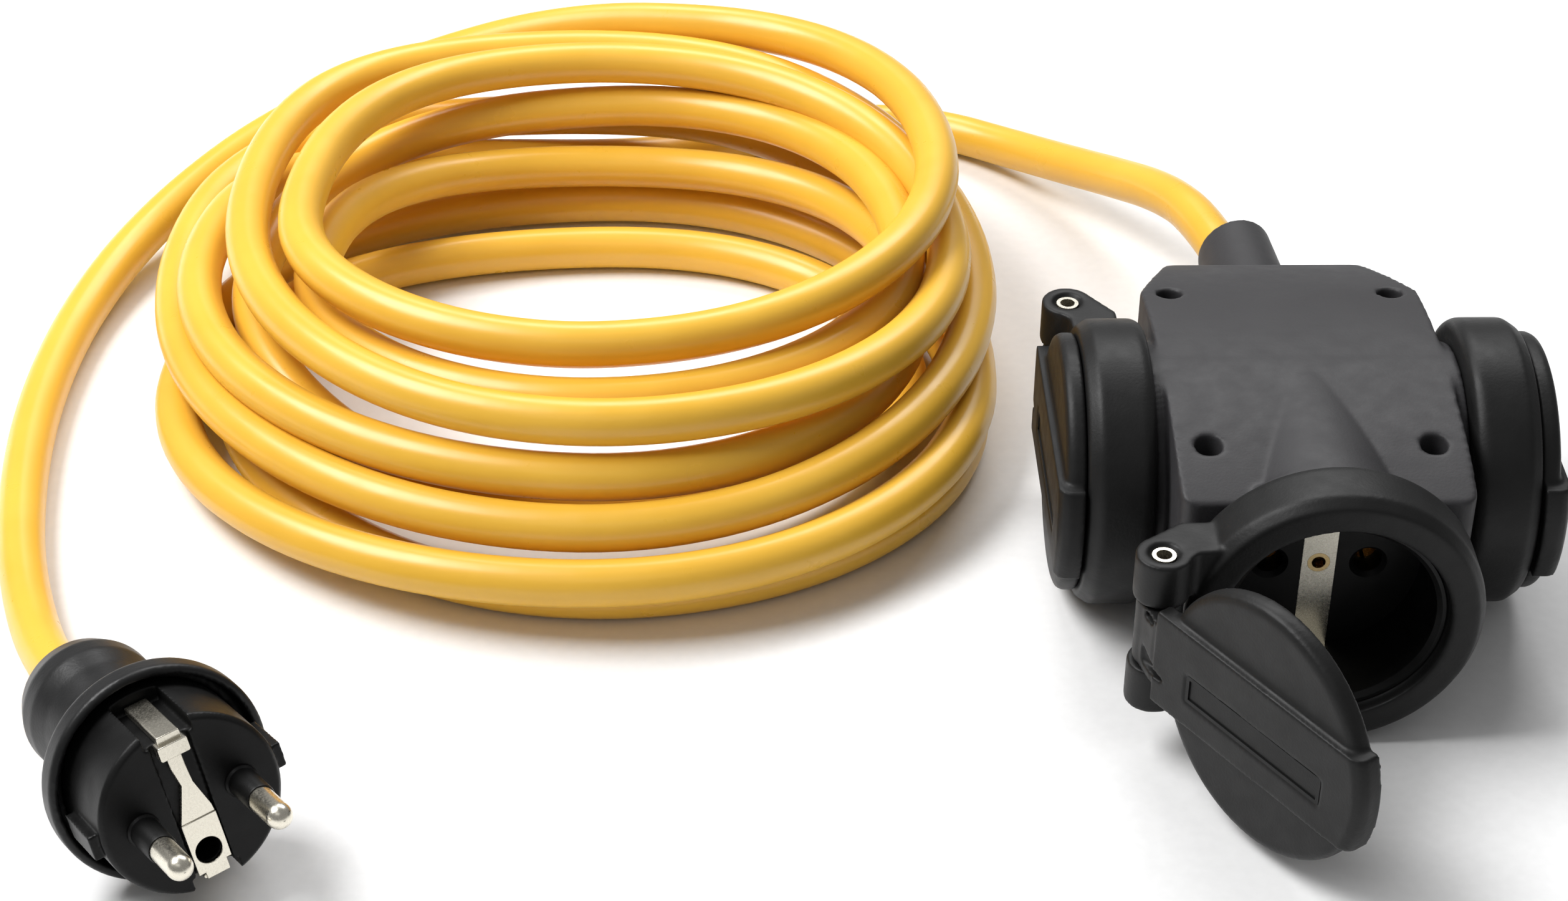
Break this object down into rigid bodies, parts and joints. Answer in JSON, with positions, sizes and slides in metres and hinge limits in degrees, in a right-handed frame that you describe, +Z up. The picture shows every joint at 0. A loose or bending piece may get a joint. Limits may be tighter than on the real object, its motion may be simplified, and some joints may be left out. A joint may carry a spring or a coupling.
{
  "type": "extension cord",
  "caption": "Yellow extension cord lying in a loose coil, with a black earthed plug on one end and a black rubber socket block on the other whose round sockets each have a hinged lid.",
  "frame": {"origin": "underside of the socket block, below the crossing of its socket axes, on the surface it stands on", "axes": "+Z up, -Y out of the front socket, +X out of the right socket"},
  "size_m": [0.3166, 0.3056, 0.057],
  "materials": {
    "black_rubber": "satin moulded rubber",
    "grey_rubber": "satin moulded rubber",
    "black_plastic": "fine textured",
    "white_plastic": "plain",
    "seal_rubber": "soft matte",
    "nickel": "bright nickel plate",
    "brass": "plain",
    "steel": "zinc plated",
    "yellow_sheath": "glossy polyurethane sheath"
  },
  "bodies": {
    "housing": {"socket_collar_front": "black_rubber", "socket_cup_front": "black_plastic", "earth_strap_front": "nickel", "earth_rivet_front": "brass", "contact_sleeves_front": "brass", "hinge_pin_front": "nickel", "socket_collar_left": "black_rubber", "socket_cup_left": "black_plastic", "earth_strap_left": "nickel", "earth_rivet_left": "brass", "contact_sleeves_left": "brass", "hinge_pin_left": "nickel", "socket_collar_right": "black_rubber", "socket_cup_right": "black_plastic", "earth_strap_right": "nickel", "earth_rivet_right": "brass", "contact_sleeves_right": "brass", "hinge_pin_right": "nickel", "housing_top": "grey_rubber", "housing_bottom": "grey_rubber", "housing_screws": "steel", "cord_boot": "black_rubber", "busbar_live": "brass", "busbar_neutral": "brass", "busbar_earth": "brass", "terminal_block": "white_plastic", "clamp_saddle": "white_plastic", "clamp_screws": "steel", "plug_body": "black_rubber", "plug_insert": "black_plastic", "plug_pins": "nickel", "plug_earth_strap": "nickel", "cord_tail_plug": "yellow_sheath", "cord_tail_block": "yellow_sheath", "cord_coil": "yellow_sheath"},
    "front_lid": {"lid_front": "black_rubber", "lid_plate_front": "black_plastic", "lid_seal_front": "seal_rubber"},
    "left_lid": {"lid_left": "black_rubber", "lid_plate_left": "black_plastic", "lid_seal_left": "seal_rubber"},
    "right_lid": {"lid_right": "black_rubber", "lid_plate_right": "black_plastic", "lid_seal_right": "seal_rubber"}
  },
  "joints": [
    {"name": "front_lid_hinge", "type": "hinge", "parent": "housing", "child": "front_lid", "pos_m": [-0.0332, -0.0535, 0.0285], "axis": [0, 0, -1], "range_deg": [-56, 109]},
    {"name": "left_lid_hinge", "type": "hinge", "parent": "housing", "child": "left_lid", "pos_m": [-0.0429, 0.0332, 0.0285], "axis": [0, 0, -1], "range_deg": [0, 38]},
    {"name": "right_lid_hinge", "type": "hinge", "parent": "housing", "child": "right_lid", "pos_m": [0.0429, 0.0332, 0.0285], "axis": [0, 0, 1], "range_deg": [0, 165]}
  ]
}
